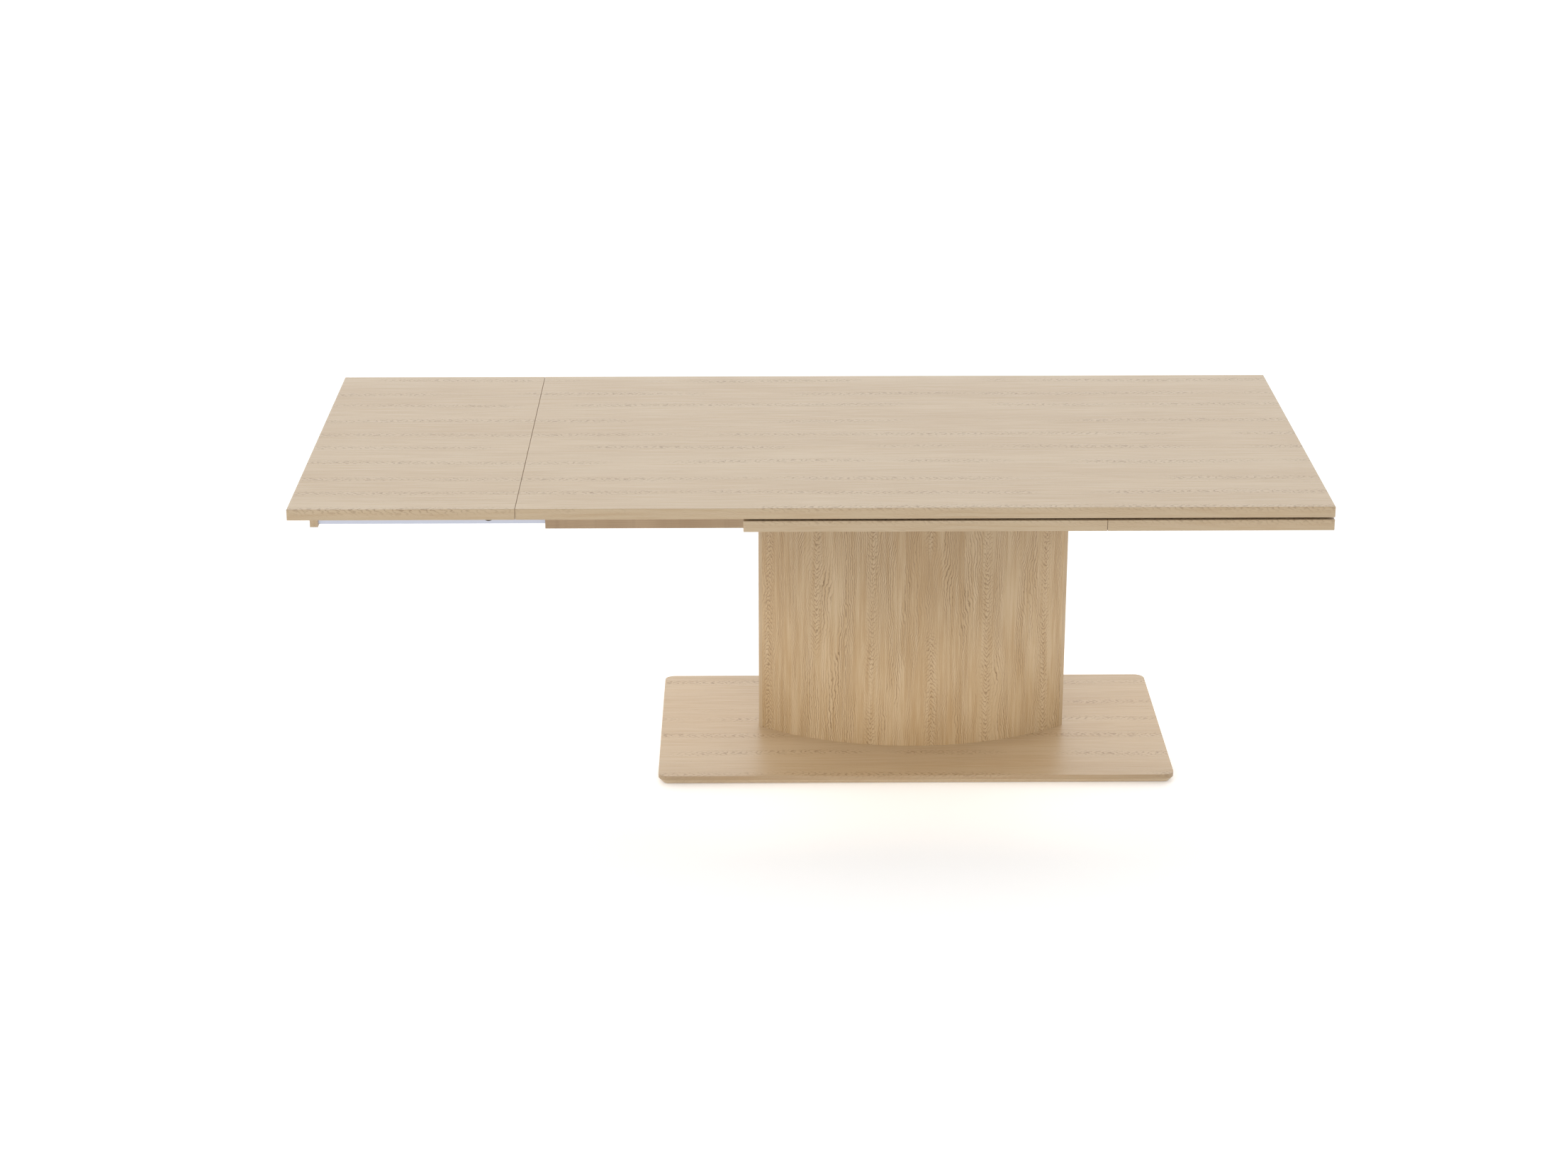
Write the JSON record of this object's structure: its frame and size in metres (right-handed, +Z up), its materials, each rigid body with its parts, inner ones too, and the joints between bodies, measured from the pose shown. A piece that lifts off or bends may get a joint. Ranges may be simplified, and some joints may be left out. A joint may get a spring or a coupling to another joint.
{
  "type": "extendable dining table",
  "caption": "Light oak dining table on a lens-shaped pedestal and base plate, with end leaves that store under the top, draw out and rise flush with it.",
  "frame": {"origin": "on the floor under the middle of the pedestal, at the underside of the middle felt glide", "axes": "+X along the table towards the stored leaf, -Y the front, +Z up"},
  "size_m": [2.3, 1, 0.754],
  "materials": {
    "oak_veneer": "satin lacquered light oak veneer, grain along the board",
    "oak_pedestal": "satin lacquered light oak veneer, grain upright",
    "solid_oak": "satin oiled solid oak",
    "frame_oak": "satin brown stained oak",
    "birch_plywood": "raw birch plywood",
    "dark_board": "matte dark stained board",
    "aluminium_rail": "satin natural anodised",
    "channel_steel": "zinc plated",
    "dark_steel": "dark bronze powder coat, fine satin",
    "zinc_fixings": "bright zinc plated",
    "nylon": "natural nylon",
    "beech_dowel": "smooth turned beech",
    "felt": "pressed wool felt"
  },
  "bodies": {
    "table": {"base_plate": "oak_veneer", "base_glides": "felt", "pedestal_foot_plate": "birch_plywood", "pedestal_head_plate": "birch_plywood", "pedestal_left_rib": "birch_plywood", "pedestal_right_rib": "birch_plywood", "pedestal_front_panel": "oak_pedestal", "pedestal_rear_panel": "oak_pedestal", "pedestal_left_edge_strip": "solid_oak", "pedestal_right_edge_strip": "solid_oak", "tie_rods": "zinc_fixings", "tie_rod_nuts": "zinc_fixings", "left_bearer": "frame_oak", "centre_bearer": "frame_oak", "right_bearer": "frame_oak", "front_side_rail": "frame_oak", "rear_side_rail": "frame_oak", "front_inner_runner": "frame_oak", "rear_inner_runner": "frame_oak", "left_end_rail": "frame_oak", "right_end_rail": "frame_oak", "frame_screws": "zinc_fixings", "left_front_guide_channel": "channel_steel", "left_rear_guide_channel": "channel_steel", "right_front_guide_channel": "channel_steel", "right_rear_guide_channel": "channel_steel", "channel_screws": "zinc_fixings", "slide_stop_pins": "dark_steel", "centre_panel": "oak_veneer", "panel_screws": "zinc_fixings", "shadow_gap_panel": "dark_board", "main_top": "oak_veneer", "top_screws": "zinc_fixings", "left_front_sliding_rail": "aluminium_rail", "left_rear_sliding_rail": "aluminium_rail", "left_batten": "solid_oak", "left_shaft_lugs": "dark_steel", "left_rail_shoes": "nylon", "left_carriage_screws": "zinc_fixings", "left_inner_arm_pins": "zinc_fixings"},
    "left_lift_shaft": {"left_cross_shaft": "dark_steel"},
    "left_front_arm": {"left_front_inner_arm": "dark_steel"},
    "left_rear_arm": {"left_rear_inner_arm": "dark_steel"},
    "left_leaf": {"left_leaf": "oak_veneer", "left_leaf_dowels": "beech_dowel", "left_leaf_brackets": "dark_steel", "left_leaf_pins": "zinc_fixings"},
    "right_carriage": {"right_front_sliding_rail": "aluminium_rail", "right_rear_sliding_rail": "aluminium_rail", "right_batten": "solid_oak", "right_shaft_lugs": "dark_steel", "right_rail_shoes": "nylon", "right_carriage_screws": "zinc_fixings", "right_cross_shaft": "dark_steel", "right_inner_arms": "dark_steel", "right_leaf": "oak_veneer", "right_leaf_dowels": "beech_dowel", "right_leaf_brackets": "dark_steel", "right_pivot_pins": "zinc_fixings"}
  },
  "joints": [
    {"name": "left_leaf_lift", "type": "hinge", "parent": "table", "child": "left_lift_shaft", "pos_m": [-1.308, 0, 0.68104], "axis": [0, -1, 0], "range_deg": [0, 85.63]},
    {"name": "left_front_arm_swing", "type": "hinge", "parent": "table", "child": "left_front_arm", "pos_m": [-0.974, 0, 0.68104], "axis": [0, -1, 0], "range_deg": [0, 85.63]},
    {"name": "left_rear_arm_swing", "type": "hinge", "parent": "table", "child": "left_rear_arm", "pos_m": [-0.974, 0, 0.68104], "axis": [0, -1, 0], "range_deg": [0, 85.63]},
    {"name": "left_leaf_level", "type": "hinge", "parent": "left_lift_shaft", "child": "left_leaf", "pos_m": [-1.30486, 0, 0.7169], "axis": [0, -1, 0], "range_deg": [-85.63, 0]},
    {"name": "right_carriage_slide", "type": "slide", "parent": "table", "child": "right_carriage", "axis": [1, 0, 0], "range_m": [0, 0.53866]}
  ],
  "couplings": [
    {"joint": "left_front_arm_swing", "follows": "left_leaf_lift", "ratio": 1},
    {"joint": "left_rear_arm_swing", "follows": "left_leaf_lift", "ratio": 1},
    {"joint": "left_leaf_level", "follows": "left_leaf_lift", "ratio": -1}
  ]
}
